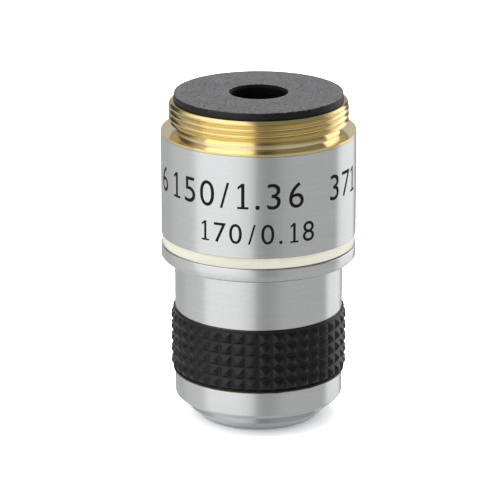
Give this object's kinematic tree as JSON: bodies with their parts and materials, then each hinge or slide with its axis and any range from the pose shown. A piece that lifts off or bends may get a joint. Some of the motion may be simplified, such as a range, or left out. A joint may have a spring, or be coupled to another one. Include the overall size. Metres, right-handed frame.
{
  "type": "microscope objective",
  "caption": "Spring-loaded high-power microscope objective: brass screw mount, brushed sleeve with a cream ring, knurled black grip ring and a sliding chamfered nose.",
  "frame": {"origin": "centre of the tip's flat face, on which the objective stands", "axes": "+Z along the optical axis towards the mounting thread; the engraved text faces -Y; the guide pin lies at +Y"},
  "size_m": [0.022, 0.022, 0.0379],
  "materials": {
    "brass": "turned, lacquered",
    "black_stop": "matt black",
    "brushed_nickel": "nickel plated brass, brushed round the axis",
    "cream_ring": "semi-gloss lacquer",
    "spring_steel": "drawn wire and turned steel",
    "knurled_black": "matt black, knurled",
    "polished_nickel": "polished",
    "lens_glass": "polished, coated"
  },
  "bodies": {
    "mount": {"thread_mount": "brass", "rear_stop": "black_stop", "sleeve": "brushed_nickel", "colour_band": "cream_ring", "collar": "brushed_nickel", "spring": "spring_steel", "spring_washer": "spring_steel", "guide_pin": "spring_steel"},
    "nose": {"barrel": "brushed_nickel", "grip_ring": "knurled_black", "nose_cap": "brushed_nickel", "front_cell": "polished_nickel", "front_lens": "lens_glass", "meniscus_cell": "brass", "meniscus_lens": "lens_glass", "front_spacer": "black_stop", "lower_cell": "brass", "lower_flint": "lens_glass", "lower_crown": "lens_glass", "rear_spacer": "black_stop", "upper_cell": "brass", "upper_flint": "lens_glass", "upper_crown": "lens_glass", "lock_ring": "black_stop", "centring_screws": "spring_steel"}
  },
  "joints": [
    {"name": "nose_retract", "type": "slide", "parent": "mount", "child": "nose", "axis": [0, 0, 1], "range_m": [0, 0.0025], "stiffness_N_per_m": 300, "springref_m": -0.003, "deforming": ["spring"]}
  ]
}
